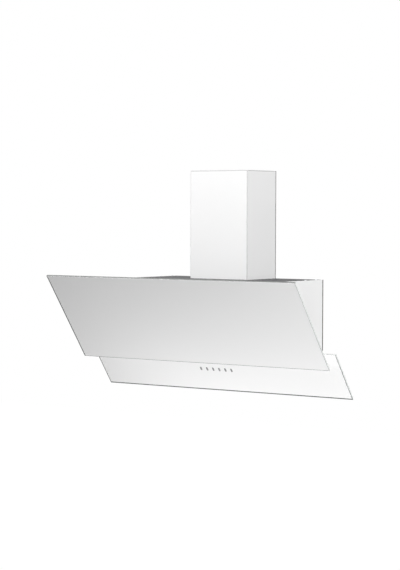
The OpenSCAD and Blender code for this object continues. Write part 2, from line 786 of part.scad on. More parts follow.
module key(i) color("silver") on_slope() translate([key_x(i), 0, key_v]) {
    along_u([glass_step - key_proud, key_flange_u]) pill(key_w, key_h);
    along_u([key_flange_u, key_flange_u + key_flange_t]) pill(key_w + 2 * key_flange, key_h + 2 * key_flange);
    rod_y([0, key_flange_u + key_flange_t, 0], key_stem_r, stem_end_u - key_flange_u - key_flange_t);
}

// Guide behind the lower pane: a pocket for each key's flange, a bore for its stem, room for the switches
module key_guide() color("dimgray") on_slope() translate([key_row_x, 0, key_v]) difference() {
    union() {
        along_u([glass_step + glass_t, guide_u]) square([guide_w, guide_h], center = true);
        along_u([front_u + sheet_t, front_u + sheet_t + guide_floor_t])
            square([guide_w + 2 * guide_ear, guide_h + guide_ear], center = true);
    }
    along_u([pocket_u + guide_floor_t, guide_u + over])
        square([guide_w - 2 * guide_floor_t, guide_h - 2 * guide_floor_t], center = true);
    for (i = [1 : key_count]) translate([key_x(i) - key_row_x, 0, 0]) {
        along_u([glass_step, pocket_u])
            pill(key_w + 2 * key_flange + 2 * gap, key_h + 2 * key_flange + 2 * gap);
        rod_y([0, pocket_u - over, 0], key_stem_r + 2 * fit, guide_floor_t + 2 * over);
    }
}

module switch_board() color("seagreen") on_slope() translate([key_row_x, 0, key_v]) {
    along_u([guide_u, guide_u + board_t]) square([guide_w, guide_h], center = true);
    for (i = [1 : key_count]) translate([key_x(i) - key_row_x, 0, 0])
        along_u([switch_u, guide_u]) square([switch_w, switch_w], center = true);
}

// Lamps, drawn for the right-hand side

bezel_t = 2;
bezel_neck_h = 10;
lens_t = 2;
bezel_lip = 3;
module_h = 18;
fin_count = 9;
spring_w = 9;
spring_t = 0.8;
spring_reach = 15;

module at_lamp() translate([lamp_x, lamp_y, body_bottom_z]) children();

module lamp_bezel() color("silver") at_lamp() rotate_extrude() polygon([
    [lamp_neck_r - bezel_t - bezel_lip, -bezel_t], [lamp_d / 2 - bezel_t, -bezel_t], [lamp_d / 2, 0],
    [lamp_neck_r, 0], [lamp_neck_r, bezel_neck_h], [lamp_neck_r - bezel_t, bezel_neck_h],
    [lamp_neck_r - bezel_t, 0], [lamp_neck_r - bezel_t - bezel_lip, 0]]);

module lamp_lens() color("lightyellow") at_lamp()
    cylinder(r = lamp_neck_r - bezel_t - fit, h = lens_t);

// Leaf spring from the module's edge down to the panel, with its end turned up
module lamp_spring() {
    low = sheet_t + gap;
    bend_x = lamp_neck_r + 0.7 * spring_reach;
    end_x = lamp_neck_r + spring_reach;
    top = bezel_neck_h + bezel_t;
    translate([0, spring_w / 2, 0]) rotate([90, 0, 0]) linear_extrude(spring_w) polygon([
        [lamp_neck_r - bezel_t, top], [lamp_neck_r, top], [bend_x, low + spring_t],
        [end_x, low + spring_reach / 4], [end_x + spring_t, low + spring_reach / 4 - spring_t],
        [bend_x, low], [lamp_neck_r + spring_t, top - 2 * spring_t], [lamp_neck_r, top - spring_t],
        [lamp_neck_r - bezel_t, top - spring_t]]);
}

// Light source on a finned heat sink that stands on the bezel's neck
module lamp_module() color("gray") at_lamp() {
    lamp_spring();
    rotate([0, 0, 180]) lamp_spring();
    translate([0, 0, lens_t]) cylinder(r = lamp_neck_r - bezel_t - fit, h = bezel_neck_h - lens_t);
    translate([0, 0, bezel_neck_h]) cylinder(r = lamp_neck_r, h = bezel_t);
    intersection() {
        translate([0, 0, bezel_neck_h + bezel_t]) cylinder(r = lamp_neck_r, h = module_h);
        for (i = [0 : fin_count - 1]) translate([(2 * i + 1 - fin_count) * lamp_neck_r / fin_count, 0, 0])
            block([-sheet_t / 2, sheet_t / 2], [-lamp_neck_r, lamp_neck_r],
                [bezel_neck_h, bezel_neck_h + bezel_t + module_h]);
    }
}

// Chimney

sleeve_return = 12;
clip_h = 12;
clip_w = 40;
clip_t = 1.5;
sleeve_z = body_top + clip_h + gap;
sleeve_top = body_top + chimney_h;
inner_w = chimney_w - 2 * sheet_t - 2 * sleeve_gap;
inner_d = chimney_d - 2 * sheet_t - 2 * sleeve_gap;
vent_count = 7;
vent_w = 5;
vent_h = sleeve_overlap / 2;
vent_pitch = 13;
fold_r = 2.5 * sheet_t;

// Rectangle with rounded corners, its back edge on y = 0
module rounded(w, d, r) {
    translate([r - w / 2, -d]) square([w - 2 * r, d]);
    translate([-w / 2, r - d]) square([w, d - 2 * r]);
    for (x = [r - w / 2, w / 2 - r], y = [r - d, -r]) translate([x, y]) circle(r);
}

// Plan of a sleeve: front, two sides and two folded returns at the back
module sleeve_plan(w, d) difference() {
    rounded(w, d, fold_r);
    translate([0, -sheet_t]) rounded(w - 2 * sheet_t, d - 2 * sheet_t, fold_r - sheet_t);
    translate([-w / 2 + sleeve_return, -d / 2]) square([w - 2 * sleeve_return, d]);
}

module chimney_lower() color("white")
    translate([0, 0, body_top]) linear_extrude(chimney_h) sleeve_plan(chimney_w, chimney_d);

// Inner sleeve, with its recirculation vents turned down out of sight
module chimney_upper() color("white") difference() {
    translate([0, -sheet_t - sleeve_gap, sleeve_z])
        linear_extrude(sleeve_top - sleeve_z) sleeve_plan(inner_w, inner_d);
    for (i = [0 : vent_count - 1])
        translate([0, duct_y + (i - (vent_count - 1) / 2) * vent_pitch, sleeve_z + vent_h])
        rotate([90, 0, 90]) translate([0, 0, -chimney_w]) linear_extrude(2 * chimney_w) pill(vent_w, vent_h);
}

// Angle clips that hold the foot of the chimney on the top panel
module chimney_clips() color("silver") both_sides() {
    x = chimney_w / 2 - sheet_t;
    y = [duct_y - clip_w / 2, duct_y + clip_w / 2];
    block([x - clip_t, x], y, [body_top, body_top + clip_h]);
    block([x - clip_h, x], y, [body_top, body_top + clip_t]);
}

// Wall bracket at the top of the inner sleeve: a hat-shaped strip with ears on the sleeve's sides
bracket_h = 20;
bracket_plate_w = 140;
bracket_step = 12;
bracket_ear = 18;
bracket_hole_r = 3;
bracket_hole_pitch = 100;
bracket_z = sleeve_top - 2 * bracket_h;

module chimney_wall_bracket() color("silver") difference() {
    side = inner_w / 2 - sheet_t;
    plate = min(bracket_plate_w, chimney_w - 4 * sleeve_return) / 2;
    union() {
        block([-plate, plate], [-clip_t, 0], [bracket_z, bracket_z + bracket_h]);
        both_sides() {
            block([plate - clip_t, plate], [-bracket_step, -clip_t], [bracket_z, bracket_z + bracket_h]);
            block([plate - clip_t, side], [-bracket_step - clip_t, -bracket_step],
                [bracket_z, bracket_z + bracket_h]);
            block([side - clip_t, side], [-bracket_step - bracket_ear, -bracket_step - clip_t],
                [bracket_z, bracket_z + bracket_h]);
        }
    }
    for (end = [-1, 1])
        rod_y([end * bracket_hole_pitch / 2, -clip_t - over, bracket_z + bracket_h / 2], bracket_hole_r,
            clip_t + 2 * over);
}

// Fasteners

screw_r = 1.75;
screw_len = 6;

// Screws that hold the top and bottom panels on the side panels' flanges
module body_screws() color("silver") both_sides() at_body_screws() screw(screw_r, screw_len);

// Screws of the motor's spider
module blower_screws() color("silver") at_fan() at_motor_screws() screw(screw_r, screw_len);

back_panel();
mirror([1, 0, 0]) side_panel();  // side_panel_left
side_panel();  // side_panel_right
top_panel();
bottom_panel();
front_frame();
lower_glass();
lower_glass_rails();
mirror([1, 0, 0]) hinge_bracket();  // hinge_bracket_left
hinge_bracket();  // hinge_bracket_right
catch_magnets();
upper_glass();
glass_carrier();
mirror([1, 0, 0]) hinge_arm();  // hinge_arm_left
hinge_arm();  // hinge_arm_right
hinge_pins();
strike_plates();
mirror([1, 0, 0]) filter_frame();  // filter_frame_left
filter_frame();  // filter_frame_right
mirror([1, 0, 0]) filter_mesh();  // filter_mesh_left
filter_mesh();  // filter_mesh_right
mirror([1, 0, 0]) filter_latch();  // filter_latch_left
filter_latch();  // filter_latch_right
mirror([1, 0, 0]) scroll_with_mouth();  // scroll_half_left
scroll_with_mouth();  // scroll_half_right
impeller();
fan_shaft();
motor();
motor_bracket();
capacitor();
outlet_collar();
flap_left();
flap_right();
flap_pin();
control_box();
control_board();
transformer();
terminal_box();
cable_gland();
key_guide();
switch_board();
for (i = [1 : key_count]) key(i);
mirror([1, 0, 0]) lamp_bezel();  // lamp_bezel_left
lamp_bezel();  // lamp_bezel_right
mirror([1, 0, 0]) lamp_lens();  // lamp_lens_left
lamp_lens();  // lamp_lens_right
mirror([1, 0, 0]) lamp_module();  // lamp_module_left
lamp_module();  // lamp_module_right
chimney_lower();
chimney_upper();
chimney_clips();
chimney_wall_bracket();
body_screws();
blower_screws();
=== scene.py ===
import math
import bmesh
import bpy
from mathutils import Matrix, Vector


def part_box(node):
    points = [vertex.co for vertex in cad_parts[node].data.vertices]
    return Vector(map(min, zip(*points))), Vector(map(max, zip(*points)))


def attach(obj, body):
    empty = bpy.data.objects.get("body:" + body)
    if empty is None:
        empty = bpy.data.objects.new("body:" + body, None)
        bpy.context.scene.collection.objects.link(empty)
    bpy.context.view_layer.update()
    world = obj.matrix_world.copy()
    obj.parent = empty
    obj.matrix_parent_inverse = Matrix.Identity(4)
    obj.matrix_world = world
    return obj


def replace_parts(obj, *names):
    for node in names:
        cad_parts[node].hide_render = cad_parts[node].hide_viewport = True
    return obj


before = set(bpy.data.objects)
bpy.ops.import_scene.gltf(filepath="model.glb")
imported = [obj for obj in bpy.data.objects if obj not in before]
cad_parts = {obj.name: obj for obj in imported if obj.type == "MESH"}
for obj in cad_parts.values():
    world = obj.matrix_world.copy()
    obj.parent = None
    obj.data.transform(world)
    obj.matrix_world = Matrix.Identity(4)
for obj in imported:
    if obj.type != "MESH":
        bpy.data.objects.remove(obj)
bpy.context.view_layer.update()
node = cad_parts


# The view
# The camera stands to the right of the hood and a little above it, as the photograph was taken,
# with a long lens that keeps the uprights nearly parallel.
scene = bpy.context.scene
scene.view_settings.view_transform = "Standard"
CAMERA_PLACE = Vector((3.1270, -4.6579, 0.2577))
CAMERA_AIM = Vector((-0.57865, 0.81463, -0.03943))
CAMERA_ROLL = math.radians(0.194)
FOCAL_PX = 1802.2
FRAME_HEIGHT_PX = 570
SENSOR_MM = 36.0

camera_data = bpy.data.cameras.new("camera")
camera_data.sensor_fit = "AUTO"
camera_data.sensor_width = SENSOR_MM
camera_data.lens = FOCAL_PX / FRAME_HEIGHT_PX * SENSOR_MM
camera = bpy.data.objects.new("camera", camera_data)
scene.collection.objects.link(camera)
camera.location = CAMERA_PLACE
look = CAMERA_AIM.to_track_quat("-Z", "Y").to_matrix()
camera.rotation_euler = (look @ Matrix.Rotation(CAMERA_ROLL, 3, "Z")).to_euler()
scene.camera = camera


# Lacquered sheet steel: side panels, underside, front frame, glass carrier and both chimney sleeves
# Folded mild steel, about a millimetre thick, powder coated in a satin white with a faint orange peel.
WHITE = (0.86, 0.86, 0.86, 1.0)
SATIN = 0.42
PEEL_SCALE = 420.0
PEEL_HEIGHT = 0.00004
CLOUD_SCALE = 6.0
CLOUD_GLOSS = (0.38, 0.46)
CLOUD_TONES = ((0.85, 0.85, 0.85, 1.0), (0.87, 0.87, 0.87, 1.0))
NOISE_DETAIL = 3.0
EVEN = (1.0, 1.0, 1.0)


def new_finish(name, colour, roughness, metallic=0.0):
    """A material with its shader set, and the Object coordinates that its patterns read."""
    material = bpy.data.materials.new(name)
    material.use_nodes = True
    shader = material.node_tree.nodes["Principled BSDF"]
    shader.inputs["Base Color"].default_value = colour
    shader.inputs["Roughness"].default_value = roughness
    shader.inputs["Metallic"].default_value = metallic
    place = material.node_tree.nodes.new("ShaderNodeTexCoord").outputs["Object"]
    return material, shader, place


def add_noise(material, place, scale, stretch=EVEN):
    """Noise at a scale per metre, stretched along the axes, as a value from 0 to 1."""
    nodes, links = material.node_tree.nodes, material.node_tree.links
    mapping = nodes.new("ShaderNodeMapping")
    mapping.inputs["Scale"].default_value = stretch
    noise = nodes.new("ShaderNodeTexNoise")
    noise.inputs["Scale"].default_value = scale
    noise.inputs["Detail"].default_value = NOISE_DETAIL
    links.new(place, mapping.inputs["Vector"])
    links.new(mapping.outputs["Vector"], noise.inputs["Vector"])
    return noise.outputs["Fac"]


def vary_gloss(material, value, low, high, shader):
    """Runs the roughness from low to high with a value."""
    ramp = material.node_tree.nodes.new("ShaderNodeMapRange")
    ramp.inputs["To Min"].default_value = low
    ramp.inputs["To Max"].default_value = high
    material.node_tree.links.new(value, ramp.inputs["Value"])
    material.node_tree.links.new(ramp.outputs["Result"], shader.inputs["Roughness"])


def tint(material, value, dark, light, shader):
    """Runs the base colour from dark to light with a value."""
    nodes, links = material.node_tree.nodes, material.node_tree.links
    mix = nodes.new("ShaderNodeMix")
    mix.data_type = "RGBA"
    mix.inputs["A"].default_value = dark
    mix.inputs["B"].default_value = light
    links.new(value, mix.inputs["Factor"])
    links.new(mix.outputs["Result"], shader.inputs["Base Color"])


def raise_surface(material, value, height, shader):
    """Bump of a real height in metres from a value."""
    bump = material.node_tree.nodes.new("ShaderNodeBump")
    bump.inputs["Distance"].default_value = height
    material.node_tree.links.new(value, bump.inputs["Height"])
    material.node_tree.links.new(bump.outputs["Normal"], shader.inputs["Normal"])


def textured(name, colour, roughness, scale, metallic=0.0, stretch=EVEN, height=0.0, gloss=(), tones=()):
    """A finish with one noise that can raise it, by a height in metres, and vary its gloss and its tone."""
    material, shader, place = new_finish(name, colour, roughness, metallic)
    noise = add_noise(material, place, scale, stretch)
    if height:
        raise_surface(material, noise, height, shader)
    if gloss:
        vary_gloss(material, noise, *gloss, shader)
    if tones:
        tint(material, noise, *tones, shader)
    return material, shader, place


def dress(material, *names):
    """Gives a finish to CAD nodes."""
    for name in names:
        for slot in node[name].material_slots:
            slot.material = material


def coated(name):
    """The white powder coat."""
    material, shader, place = textured(name, WHITE, SATIN, PEEL_SCALE, height=PEEL_HEIGHT)
    cloud = add_noise(material, place, CLOUD_SCALE)
    vary_gloss(material, cloud, *CLOUD_GLOSS, shader)
    tint(material, cloud, *CLOUD_TONES, shader)
    return material, shader, place


dress(coated("white_lacquer")[0], "bottom_panel", "front_frame", "glass_carrier", "chimney_upper")


# Painted shade along the wall edge and the folds
# A near-black band, 5 mm wide, edges the side panels and the chimney along the wall as painted shade where
# they meet the wall, and a grey line round the chimney's folds and along its cut top edge is painted shade.
PAINTED_WALL_SHADE_WIDTH = 0.005
PAINTED_WALL_SHADE = (0.05, 0.05, 0.052, 1.0)
FOLD_REACH = 0.0028
PAINTED_EDGE_SHADE = (0.60, 0.60, 0.60, 1.0)


def cover(material, mask, colour, shader):
    """Lays a colour over what the shader already has, where a mask is 1."""
    nodes, links = material.node_tree.nodes, material.node_tree.links
    mix = nodes.new("ShaderNodeMix")
    mix.data_type = "RGBA"
    mix.inputs["B"].default_value = colour
    links.new(shader.inputs["Base Color"].links[0].from_socket, mix.inputs["A"])
    links.new(mask, mix.inputs["Factor"])
    links.new(mix.outputs["Result"], shader.inputs["Base Color"])


def calculate(tree, operation, *terms):
    """A math node on sockets and plain numbers."""
    step = tree.nodes.new("ShaderNodeMath")
    step.operation = operation
    for slot, term in zip(step.inputs, terms):
        if isinstance(term, bpy.types.NodeSocket):
            tree.links.new(term, slot)
        else:
            slot.default_value = term
    return step.outputs[0]


def split_axes(tree, place):
    """The three coordinates of a place, by their letters."""
    axes = tree.nodes.new("ShaderNodeSeparateXYZ")
    tree.links.new(place, axes.inputs["Vector"])
    return axes.outputs


def distance_in_plan(tree, axes, x, y):
    """Distance from the upright through a point on the right, and on the left from its mirror image."""
    plan = tree.nodes.new("ShaderNodeCombineXYZ")
    tree.links.new(calculate(tree, "ABSOLUTE", axes["X"]), plan.inputs["X"])
    tree.links.new(axes["Y"], plan.inputs["Y"])
    away = tree.nodes.new("ShaderNodeVectorMath")
    away.operation = "DISTANCE"
    away.inputs[1].default_value = (x, y, 0.0)
    tree.links.new(plan.outputs["Vector"], away.inputs[0])
    return away.outputs["Value"]


shell, shader, place = coated("shell_lacquer_painted_shade")
tree = shell.node_tree
axes = split_axes(tree, place)
sleeve_low, sleeve_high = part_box("chimney_lower")
from_fold = distance_in_plan(tree, axes, sleeve_high[0], sleeve_low[1])
# Painted shade: a grey line round the chimney's front folds.
cover(shell, calculate(tree, "LESS_THAN", from_fold, FOLD_REACH), PAINTED_EDGE_SHADE, shader)
# Painted shade: a grey line along the chimney's cut top edge.
cover(shell, calculate(tree, "GREATER_THAN", axes["Z"], sleeve_high[2] - FOLD_REACH), PAINTED_EDGE_SHADE, shader)
# Painted shade: a near-black band along the wall edge of the panels and the chimney.
cover(shell, calculate(tree, "GREATER_THAN", axes["Y"], -PAINTED_WALL_SHADE_WIDTH), PAINTED_WALL_SHADE, shader)
dress(shell, "side_panel_left", "side_panel_right", "chimney_lower")


# Top panel
# Folded sheet that closes the body above, in a dark grey satin coat whose darkness is painted shade,
# standing in for the shade and dark reflection that lie on the top.
PAINTED_SHADE_GREY = (0.045, 0.045, 0.047, 1.0)
DARK_SHEEN = 0.1
DUST_SCALE = 9.0
painted_shade_coat, shader, place = textured("painted_shade_coat", PAINTED_SHADE_GREY, 0.55, scale=700.0, height=0.00005)
shader.inputs["Specular IOR Level"].default_value = DARK_SHEEN
dust = add_noise(painted_shade_coat, place, DUST_SCALE)
# Dust varies the near-black painted shade a little from place to place.
tint(painted_shade_coat, dust, (0.038, 0.038, 0.040, 1.0), (0.058, 0.058, 0.060, 1.0), shader)
dress(painted_shade_coat, "top_panel")


# Body screws
# Eight zinc-plated pan-head screws with a cross recess, driven through the top and bottom panels into
# the folded flanges of the side panels.
HEAD_RADIUS = 0.0035
HEAD_HEIGHT = 0.00175
HEAD_ROUND = 0.0011
HEAD_RIM = 0.99      # of the head's height, above which an edge belongs to its rim
SHANK_RADIUS = 0.00175
SHANK_LENGTH = 0.006
POINT_SHARE = 0.2    # of the shank's length
POINT_WIDTH = 0.4    # of the shank's width
RECESS_REACH = 0.0042
RECESS_WIDTH = 0.0008
RECESS_DEPTH = 0.0011
SMOOTH_ANGLE = math.radians(40.0)
FACING = 0.9         # the least part of a normal along an axis for a face to count as facing that way


def only(piece):
    """Makes a piece the active object and the only one selected."""
    bpy.ops.object.select_all(action="DESELECT")
    piece.select_set(True)
    bpy.context.view_layer.objects.active = piece


def pick_faces(piece, test):
    """Selects the faces whose middle and normal pass a test, and stays in edit mode."""
    only(piece)
    bpy.ops.object.mode_set(mode="EDIT")
    bpy.ops.mesh.select_mode(type="FACE")
    shape = bmesh.from_edit_mesh(piece.data)
    for face in shape.faces:
        face.select_set(test(face.calc_center_median(), face.normal))
    bmesh.update_edit_mesh(piece.data)


def pick_edges(piece, test):
    """Selects the edges whose two ends pass a test, and stays in edit mode."""
    only(piece)
    bpy.ops.object.mode_set(mode="EDIT")
    bpy.ops.mesh.select_mode(type="EDGE")
    shape = bmesh.from_edit_mesh(piece.data)
    for edge in shape.edges:
        edge.select_set(test(edge.verts[0].co) and test(edge.verts[1].co))
    bmesh.update_edit_mesh(piece.data)


def settle(piece):
    """Puts a piece's place into its mesh."""
    bpy.ops.object.mode_set(mode="OBJECT")
    only(piece)
    bpy.ops.object.transform_apply(location=True, rotation=True, scale=True)


def apply_all(piece):
    """Applies a piece's modifiers in order."""
    only(piece)
    for modifier in list(piece.modifiers):
        bpy.ops.object.modifier_apply(modifier=modifier.name)


bpy.ops.mesh.primitive_cylinder_add(vertices=32, radius=HEAD_RADIUS, depth=HEAD_HEIGHT,
                                    location=(0.0, 0.0, HEAD_HEIGHT / 2))
body_screw = bpy.context.object
body_screw.name = "body_screw_set"
settle(body_screw)
pick_faces(body_screw, lambda middle, normal: normal.z < -FACING)
bpy.ops.mesh.inset(thickness=HEAD_RADIUS - SHANK_RADIUS)
for share in (1.0 - POINT_SHARE, POINT_SHARE):
    bpy.ops.mesh.extrude_region_move(TRANSFORM_OT_translate={"value": (0.0, 0.0, -share * SHANK_LENGTH)})
bpy.ops.transform.resize(value=(POINT_WIDTH, POINT_WIDTH, 1.0))
bpy.ops.object.mode_set(mode="OBJECT")
pick_edges(body_screw, lambda end: end.z > HEAD_RIM * HEAD_HEIGHT)
bpy.ops.mesh.bevel(offset=HEAD_ROUND, segments=4)
bpy.ops.object.mode_set(mode="OBJECT")
for turn in (0.0, math.pi / 2):
    bpy.ops.mesh.primitive_cube_add(size=1.0, location=(0.0, 0.0, HEAD_HEIGHT),
                                    rotation=(0.0, 0.0, turn))
    cutter = bpy.context.object
    cutter.scale = (RECESS_REACH, RECESS_WIDTH, 2 * RECESS_DEPTH)
    settle(cutter)
    cut = body_screw.modifiers.new("recess", "BOOLEAN")
    cut.operation = "DIFFERENCE"
    cut.object = cutter
    apply_all(body_screw)
    bpy.data.objects.remove(cutter)

plating = textured("zinc_plating", (0.62, 0.63, 0.65, 1.0), 0.3, scale=900.0, metallic=1.0,
                   gloss=(0.22, 0.42), tones=((0.55, 0.56, 0.59, 1.0), (0.68, 0.69, 0.70, 1.0)))[0]


def screw_set(name, body, places, shank_share=1.0):
    """Copies of the screw as one piece, each at a head's seat and with a turn."""
    copies = []
    for seat, turn in places:
        fitted = body_screw.copy()
        fitted.data = body_screw.data.copy()
        scene.collection.objects.link(fitted)
        for vertex in fitted.data.vertices:
            vertex.co.z *= shank_share if vertex.co.z < 0.0 else 1.0
        fitted.data.transform(Matrix.Translation(seat) @ turn)
        copies.append(fitted)
    bpy.ops.object.select_all(action="DESELECT")
    for fitted in copies:
        fitted.select_set(True)
    bpy.context.view_layer.objects.active = copies[0]
    bpy.ops.object.join()
    joined = bpy.context.object
    joined.name = name
    only(joined)
    bpy.ops.object.shade_smooth_by_angle(angle=SMOOTH_ANGLE)
    joined.data.materials.clear()
    joined.data.materials.append(plating)
    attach(joined, body)
    return joined


# Radians per metre across and along the body, so that each recess has come to rest at its own angle.
TURN_ACROSS = 40.0
TURN_ALONG = 90.0
screw_low, screw_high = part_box("body_screws")
places = []
for x in (screw_low[0] + HEAD_RADIUS, screw_high[0] - HEAD_RADIUS):
    for y in (screw_low[1] + HEAD_RADIUS, screw_high[1] - HEAD_RADIUS):
        driven = Matrix.Rotation(TURN_ACROSS * x + TURN_ALONG * y, 4, "Z")
        places.append(((x, y, screw_high[2] - HEAD_HEIGHT), driven))
        places.append(((x, y, screw_low[2] + HEAD_HEIGHT), Matrix.Rotation(math.pi, 4, "X") @ driven))
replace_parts(screw_set("body_screw_set", "hood_body", places), "body_screws")


# Back panel, brackets and other plain steel
# Hot-dip galvanised sheet, cut and folded bare: pale grey with the broad crystals of the zinc.
SPANGLE_SCALE = 110.0
zinc, shader, place = new_finish("galvanised", (0.58, 0.59, 0.60, 1.0), 0.42, 0.9)
nodes, links = zinc.node_tree.nodes, zinc.node_tree.links
spangle = nodes.new("ShaderNodeTexVoronoi")
spangle.inputs["Scale"].default_value = SPANGLE_SCALE
links.new(place, spangle.inputs["Vector"])
brightness = nodes.new("ShaderNodeSeparateColor")
links.new(spangle.outputs["Color"], brightness.inputs["Color"])
tint(zinc, brightness.outputs["Red"], (0.51, 0.52, 0.53, 1.0), (0.60, 0.61, 0.62, 1.0), shader)
vary_gloss(zinc, brightness.outputs["Green"], 0.34, 0.52, shader)
dress(zinc, "back_panel", "hinge_bracket_left", "hinge_bracket_right", "hinge_arm_left", "hinge_arm_right",
      "motor", "motor_bracket", "control_box", "lamp_module_left", "lamp_module_right", "chimney_clips",
      "chimney_wall_bracket")


# Glass panes
# Toughened float glass, 6 mm, painted white on the back. The paint stops short of the edges, so a thin dark
# rim of bare glass shows there; it is made widest at the foot and on the left as painted shade on the sides
# turned from the lamps. The ground edges are pale and matt, but darker along the head, most of all on the
# upper pane, as painted shade.
GLASS_TILT = math.radians(36.0)
GLASS_IOR = 1.52
BARE_AND_SHADE_WIDTH = {"upper_glass": {"left": 0.0044, "right": 0.0009, "foot": 0.0020, "head": 0.0003},
              "lower_glass": {"left": 0.0036, "right": 0.0020, "foot": 0.0048, "head": 0.0005}}
GROUND_WIDTH = 0.0003
POLISHED, MATT = 0.04, 0.5
PAINT = (0.90, 0.90, 0.90, 1.0)
PAINT_TONES = ((0.895, 0.895, 0.895, 1.0), (0.905, 0.905, 0.905, 1.0))
RIM_AND_PAINTED_SHADE = (0.085, 0.095, 0.092, 1.0)
GROUND = (0.68, 0.70, 0.69, 1.0)
# Painted shade: the ground edge along the head is darker than the others, most of all on the upper pane.
GROUND_HEAD_PAINTED_SHADE = {"upper_glass": (0.12, 0.125, 0.122, 1.0), "lower_glass": (0.40, 0.41, 0.405, 1.0)}


def slope_height(point):
    """Height of a point along the glass."""
    return point[1] * math.sin(-GLASS_TILT) + point[2] * math.cos(GLASS_TILT)


def pane_finish(name, bare):
    """Back-painted glass whose bare rim, with its painted shade, and ground edges follow the pane's own
    outline on the slope.
    """
    material, shader, place = textured(name + "_finish", PAINT, POLISHED, scale=5.0, tones=PAINT_TONES)
    shader.inputs["IOR"].default_value = GLASS_IOR
    tree = material.node_tree
    turn = tree.nodes.new("ShaderNodeMapping")
    turn.inputs["Rotation"].default_value = (-GLASS_TILT, 0.0, 0.0)
    tree.links.new(place, turn.inputs["Vector"])
    axes = split_axes(tree, turn.outputs["Vector"])
    heights = [slope_height(vertex.co) for vertex in node[name].data.vertices]
    low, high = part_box(name)
    sides = {"left": (axes["X"], "LESS_THAN", low[0], 1, GROUND),
             "right": (axes["X"], "GREATER_THAN", high[0], -1, GROUND),
             "foot": (axes["Z"], "LESS_THAN", min(heights), 1, GROUND),
             "head": (axes["Z"], "GREATER_THAN", max(heights), -1, GROUND_HEAD_PAINTED_SHADE[name])}
    for side, (value, beyond, edge, inwards, _) in sides.items():
        # The dark rim, widest on the left and at the foot, is partly the bare glass and partly painted
        # shade.
        cover(material, calculate(tree, beyond, value, edge + inwards * bare[side]), RIM_AND_PAINTED_SHADE, shader)
    ground = 0.0
    for value, beyond, edge, inwards, colour in sides.values():
        mask = calculate(tree, beyond, value, edge + inwards * GROUND_WIDTH)
        cover(material, mask, colour, shader)
        ground = calculate(tree, "MAXIMUM", mask, ground)
    vary_gloss(material, ground, POLISHED, MATT, shader)
    return material


for name, bare in BARE_AND_SHADE_WIDTH.items():
    dress(pane_finish(name, bare), name)


# Bare aluminium: rails of the lower pane, filter frames and meshes, lamp bezels
# Rolled and extruded aluminium with a fine grain along its length.
aluminium = textured("aluminium", (0.80, 0.80, 0.81, 1.0), 0.35, scale=300.0, metallic=1.0,
                     stretch=(0.06, 1.0, 1.0), gloss=(0.28, 0.46),
                     tones=((0.72, 0.72, 0.73, 1.0), (0.84, 0.84, 0.85, 1.0)))[0]
dress(aluminium, "lower_glass_rails", "filter_frame_left", "filter_frame_right", "filter_mesh_left",
      "filter_mesh_right", "lamp_bezel_left", "lamp_bezel_right")


# Filter pads
# Inside each grease filter a finer layer of expanded aluminium lies between the coarse diamonds: slit
# sheet pulled open, its strands turned a little out of the plane.
SLOPE_ZERO = Vector((0.0, -0.43507, 0.0665))    # head of the upper pane, where the slope's axes start
PAD_CELL = 0.0042
PAD_STRAND = 0.0007
PAD_DEPTH = 0.0665        # behind the face of the upper pane
PAD_MARGIN = 0.014
PAD_HEAD_MARGIN = 0.040
PAD_SQUASH = 0.72         # height of a diamond over its width
PAD_REACH = 0.75          # half the side of the uncut grid over the pad's width


def on_slope(mesh):
    """Moves a mesh from the slope's own axes, across, back and up the glass, to its place."""
    mesh.transform(Matrix.Translation(SLOPE_ZERO) @ Matrix.Rotation(GLASS_TILT, 4, "X"))


def slope_range(name):
    """Lowest and highest corner of a CAD node in the slope's own axes."""
    turn = Matrix.Rotation(-GLASS_TILT, 3, "X")
    points = [turn @ (vertex.co - SLOPE_ZERO) for vertex in node[name].data.vertices]
    return [[pick(point[i] for point in points) for i in range(3)] for pick in (min, max)]


for side in ("left", "right"):
    low, high = slope_range("filter_mesh_" + side)
    pad_low = [low[0] + PAD_MARGIN, PAD_DEPTH, low[2] + PAD_MARGIN]
    pad_high = [high[0] - PAD_MARGIN, PAD_DEPTH, high[2] - PAD_HEAD_MARGIN]
    middle = [0.5 * (pad_low[i] + pad_high[i]) for i in range(3)]
    reach = PAD_REACH * (pad_high[0] - pad_low[0])
    cells = int(2 * reach / PAD_CELL)
    bpy.ops.mesh.primitive_grid_add(x_subdivisions=cells, y_subdivisions=cells, size=2 * reach,
                                    rotation=(math.pi / 2, math.pi / 4, 0.0))
    pad = bpy.context.object
    pad.name = "filter_pad_" + side
    settle(pad)
    pad.data.transform(Matrix.Scale(PAD_SQUASH, 4, (0.0, 0.0, 1.0)))
    pad.data.transform(Matrix.Translation(middle))
    only(pad)
    bpy.ops.object.mode_set(mode="EDIT")
    for point, outward in (((pad_low[0], 0, 0), (-1, 0, 0)), ((pad_high[0], 0, 0), (1, 0, 0)),
                           ((0, 0, pad_low[2]), (0, 0, -1)), ((0, 0, pad_high[2]), (0, 0, 1))):
        bpy.ops.mesh.select_all(action="SELECT")
        bpy.ops.mesh.bisect(plane_co=point, plane_no=outward, clear_outer=True)
    bpy.ops.object.mode_set(mode="OBJECT")
    strands = pad.modifiers.new("strands", "WIREFRAME")
    strands.thickness = PAD_STRAND
    apply_all(pad)
    on_slope(pad.data)
    pad.data.materials.append(aluminium)
    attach(pad, "hood_body")


